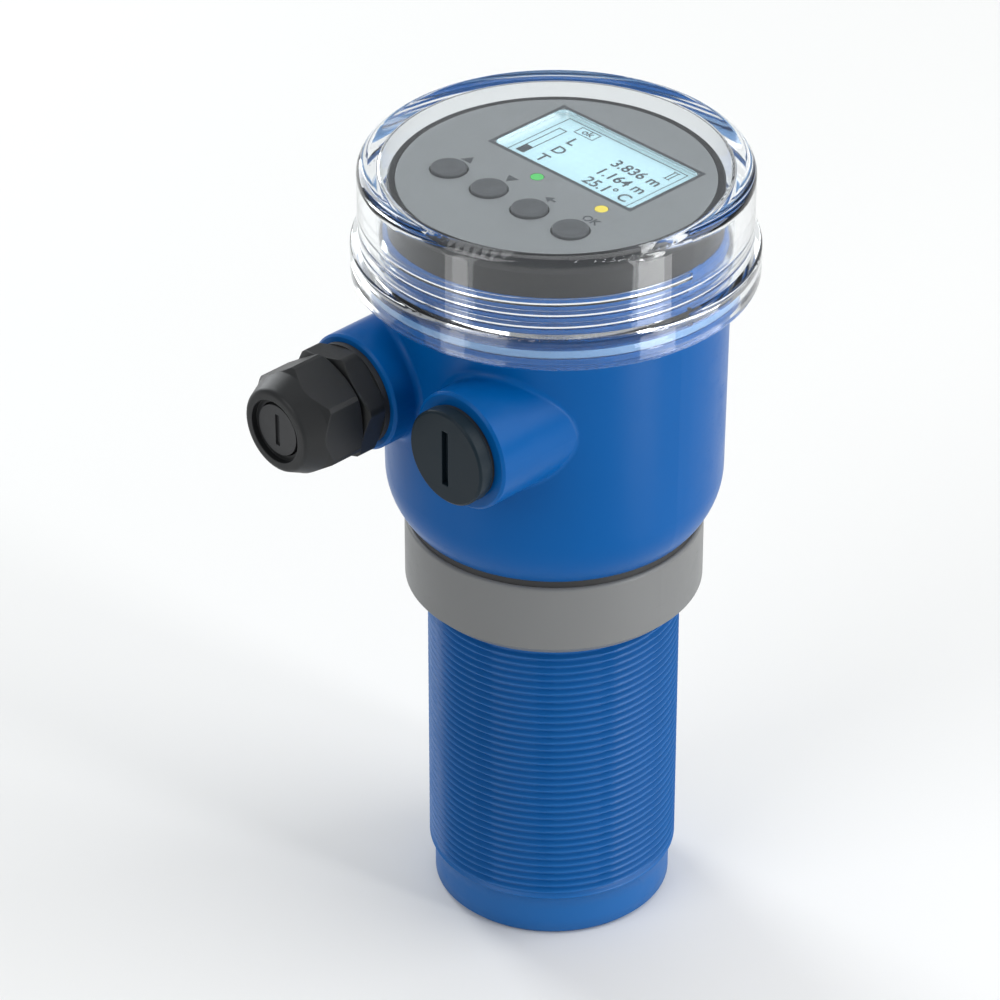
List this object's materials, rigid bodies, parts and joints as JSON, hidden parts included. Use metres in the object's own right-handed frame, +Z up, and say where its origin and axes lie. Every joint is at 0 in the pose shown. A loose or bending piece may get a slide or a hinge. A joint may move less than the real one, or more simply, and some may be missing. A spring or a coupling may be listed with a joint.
{
  "type": "ultrasonic level sensor",
  "caption": "Compact ultrasonic level sensor: blue head with a clear screw cap over a local display, a cable gland, a plugged entry, a grey lock ring and a threaded shank.",
  "frame": {"origin": "centre of the transducer's face, on the surface that the sensor stands on", "axes": "+Z up the sensor's axis to the cap, both cable entries point along -Y, the display reads along +X"},
  "size_m": [0.094, 0.1185, 0.198],
  "materials": {
    "head_blue": "glossy moulded plastic, medium blue",
    "shank_blue": "satin machined plastic, slightly greyer blue",
    "ring_grey": "smooth satin moulded plastic, mid grey",
    "cap_clear": "clear moulded polycarbonate, polished",
    "seal_rubber": "black rubber",
    "membrane_grey": "pale filled resin, fine matt",
    "piezo_ceramic": "fired ceramic with silvered faces",
    "damping_foam": "closed-cell foam",
    "capsule_steel": "bright steel",
    "potting_resin": "black casting resin",
    "case_dark": "dark grey moulded plastic, fine grain",
    "faceplate_grey": "light grey printed film, satin",
    "lens_clear": "clear flat lens",
    "display_glass": "pale cyan liquid-crystal cell",
    "backlight_white": "white diffuser",
    "board_green": "green solder mask over glass laminate",
    "screw_steel": "zinc-plated steel",
    "switch_black": "black moulded plastic",
    "terminal_green": "green moulded plastic",
    "pin_brass": "gold-flashed brass",
    "coil_copper": "taped copper winding on a bobbin",
    "can_aluminium": "plain aluminium can",
    "gland_black": "black moulded polyamide, fine grain",
    "stopper_black": "black moulded plastic",
    "plug_black": "anthracite moulded polyamide",
    "key_grey": "grey moulded plastic",
    "lamp_green": "green light pipe",
    "lamp_yellow": "yellow light pipe"
  },
  "bodies": {
    "sensor_body": {"transducer_shank": "shank_blue", "membrane": "membrane_grey", "piezo_disc": "piezo_ceramic", "damping_cup": "damping_foam", "temperature_capsule": "capsule_steel", "potting": "potting_resin", "head_housing": "head_blue", "display_case": "case_dark", "faceplate": "faceplate_grey", "display_lens": "lens_clear", "display_glass": "display_glass", "display_backlight": "backlight_white", "display_board": "board_green", "display_screws": "screw_steel", "key_switches": "switch_black", "terminal_board": "board_green", "board_screws": "screw_steel", "terminal_block": "terminal_green", "terminal_screws": "screw_steel", "header_socket": "switch_black", "header_pins": "pin_brass", "driver_board": "board_green", "drive_coil": "coil_copper", "capacitors": "can_aluminium", "board_link": "switch_black", "gland_body": "gland_black", "gland_seal": "seal_rubber", "lamp_green": "lamp_green", "lamp_yellow": "lamp_yellow"},
    "cap_seal_ring": {"cap_seal": "seal_rubber"},
    "screw_cap": {"clear_cap": "cap_clear"},
    "gland_sleeve": {"gland_insert": "seal_rubber", "gland_stopper": "stopper_black"},
    "dome_nut": {"gland_nut": "gland_black"},
    "plug_washer": {"plug_seal": "seal_rubber"},
    "entry_plug": {"blanking_plug": "plug_black"},
    "flat_gasket": {"ring_gasket": "seal_rubber"},
    "clamp_ring": {"lock_ring": "ring_grey"},
    "up_key": {"key_up": "key_grey"},
    "down_key": {"key_down": "key_grey"},
    "back_key": {"key_back": "key_grey"},
    "ok_key": {"key_ok": "key_grey"}
  },
  "joints": [
    {"name": "cap_travel", "type": "slide", "parent": "sensor_body", "child": "cap_seal_ring", "axis": [0, 0, 1], "range_m": [0, 0.00902]},
    {"name": "cap_turn", "type": "hinge", "parent": "cap_seal_ring", "child": "screw_cap", "pos_m": [0, 0, 0.18], "axis": [0, 0, 1], "range_deg": [0, 1080]},
    {"name": "gland_nut_travel", "type": "slide", "parent": "sensor_body", "child": "gland_sleeve", "axis": [0, -1, 0], "range_m": [0, 0.00602]},
    {"name": "gland_nut_turn", "type": "hinge", "parent": "gland_sleeve", "child": "dome_nut", "pos_m": [-0.0175, -0.06, 0.1492], "axis": [0, -1, 0], "range_deg": [0, 1440]},
    {"name": "entry_plug_travel", "type": "slide", "parent": "sensor_body", "child": "plug_washer", "axis": [0, -1, 0], "range_m": [0, 0.01202]},
    {"name": "entry_plug_turn", "type": "hinge", "parent": "plug_washer", "child": "entry_plug", "pos_m": [0.0175, -0.048, 0.1492], "axis": [0, -1, 0], "range_deg": [0, 2880]},
    {"name": "lock_ring_travel", "type": "slide", "parent": "sensor_body", "child": "flat_gasket", "axis": [0, 0, -1], "range_m": [0, 0.04002]},
    {"name": "lock_ring_turn", "type": "hinge", "parent": "flat_gasket", "child": "clamp_ring", "pos_m": [0, 0, 0.096], "axis": [0, 0, -1], "range_deg": [0, 7200]},
    {"name": "up_key_press", "type": "slide", "parent": "sensor_body", "child": "up_key", "axis": [0, 0, -1], "range_m": [0, 0.0008], "stiffness_N_per_m": 300, "springref_m": -0.0005},
    {"name": "down_key_press", "type": "slide", "parent": "sensor_body", "child": "down_key", "axis": [0, 0, -1], "range_m": [0, 0.0008], "stiffness_N_per_m": 300, "springref_m": -0.0005},
    {"name": "back_key_press", "type": "slide", "parent": "sensor_body", "child": "back_key", "axis": [0, 0, -1], "range_m": [0, 0.0008], "stiffness_N_per_m": 300, "springref_m": -0.0005},
    {"name": "ok_key_press", "type": "slide", "parent": "sensor_body", "child": "ok_key", "axis": [0, 0, -1], "range_m": [0, 0.0008], "stiffness_N_per_m": 300, "springref_m": -0.0005}
  ],
  "couplings": [
    {"joint": "cap_travel", "follows": "cap_turn", "m_per_rad": 0.00047746},
    {"joint": "gland_nut_travel", "follows": "gland_nut_turn", "m_per_rad": 0.00023873},
    {"joint": "entry_plug_travel", "follows": "entry_plug_turn", "m_per_rad": 0.00023873},
    {"joint": "lock_ring_travel", "follows": "lock_ring_turn", "m_per_rad": 0.00031831}
  ]
}
